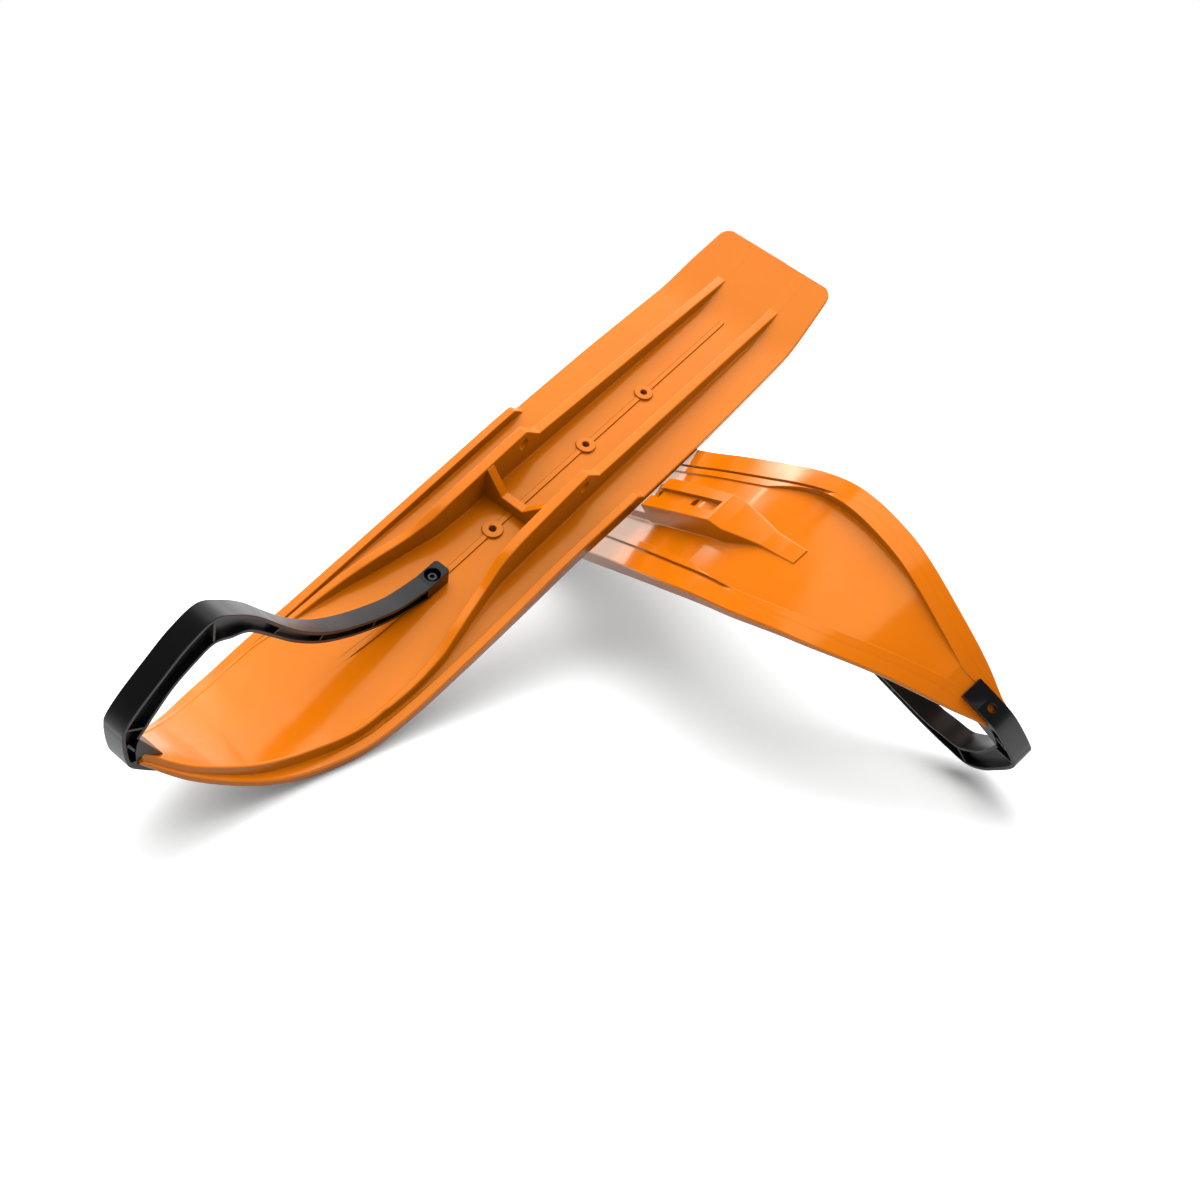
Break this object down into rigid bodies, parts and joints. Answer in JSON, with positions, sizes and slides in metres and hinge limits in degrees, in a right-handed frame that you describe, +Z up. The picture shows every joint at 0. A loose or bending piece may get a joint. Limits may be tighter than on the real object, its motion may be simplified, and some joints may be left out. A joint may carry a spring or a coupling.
{
  "type": "snowmobile skis",
  "caption": "Pair of moulded plastic snowmobile skis with bolted loop handles, the lower one lying upside down and crossed by the upper one.",
  "frame": {"origin": "middle of the pair's footprint, on the floor that both skis rest on", "axes": "+Z up, +X to the right and +Y away as the picture looks at the pair"},
  "size_m": [0.6946, 1.0428, 0.4454],
  "materials": {
    "orange_plastic": "semi-gloss moulded",
    "black_plastic": "satin moulded",
    "dark_steel": "blackened"
  },
  "bodies": {
    "lower_ski": {"ski_lower": "orange_plastic", "loop_lower": "black_plastic", "loop_screw_lower": "dark_steel"},
    "upper_ski": {"ski_upper": "orange_plastic", "loop_upper": "black_plastic", "loop_screw_upper": "dark_steel"}
  },
  "joints": [
    {"name": "upper_ski_lift", "type": "slide", "parent": "lower_ski", "child": "upper_ski", "axis": [0, 0, 1], "range_m": [0, 0.3]}
  ]
}
